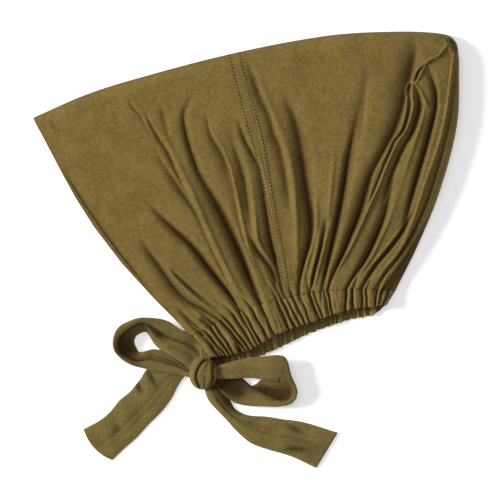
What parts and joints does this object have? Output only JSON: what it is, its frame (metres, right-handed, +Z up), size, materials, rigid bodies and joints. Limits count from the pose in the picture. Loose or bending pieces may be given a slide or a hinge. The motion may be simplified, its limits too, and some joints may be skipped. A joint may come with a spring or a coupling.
{
  "type": "hijab underscarf cap",
  "caption": "Olive jersey underscarf cap, folded flat on its side, with a gathered nape casing and its ties in a bow.",
  "frame": {"origin": "under the middle of the folded cap with its ties, on the surface that it lies on", "axes": "+X from the face opening to the back of the head, +Y from the nape to the crown, +Z up from the surface"},
  "size_m": [0.362, 0.37, 0.0236],
  "materials": {
    "cap_jersey": "matte olive brown knitted jersey",
    "casing_jersey": "matte olive brown jersey gathered over elastic",
    "tie_jersey": "matte olive jersey, flat double-layer tie"
  },
  "bodies": {
    "root": {"front_panel": "cap_jersey", "back_panel": "cap_jersey", "nape_casing": "casing_jersey", "tie_neck_near": "tie_jersey", "tie_neck_far": "tie_jersey", "bow_knot": "tie_jersey", "bow_loop_left": "tie_jersey", "bow_loop_right": "tie_jersey", "tie_tail_left": "tie_jersey", "tie_tail_right": "tie_jersey"}
  },
  "joints": []
}
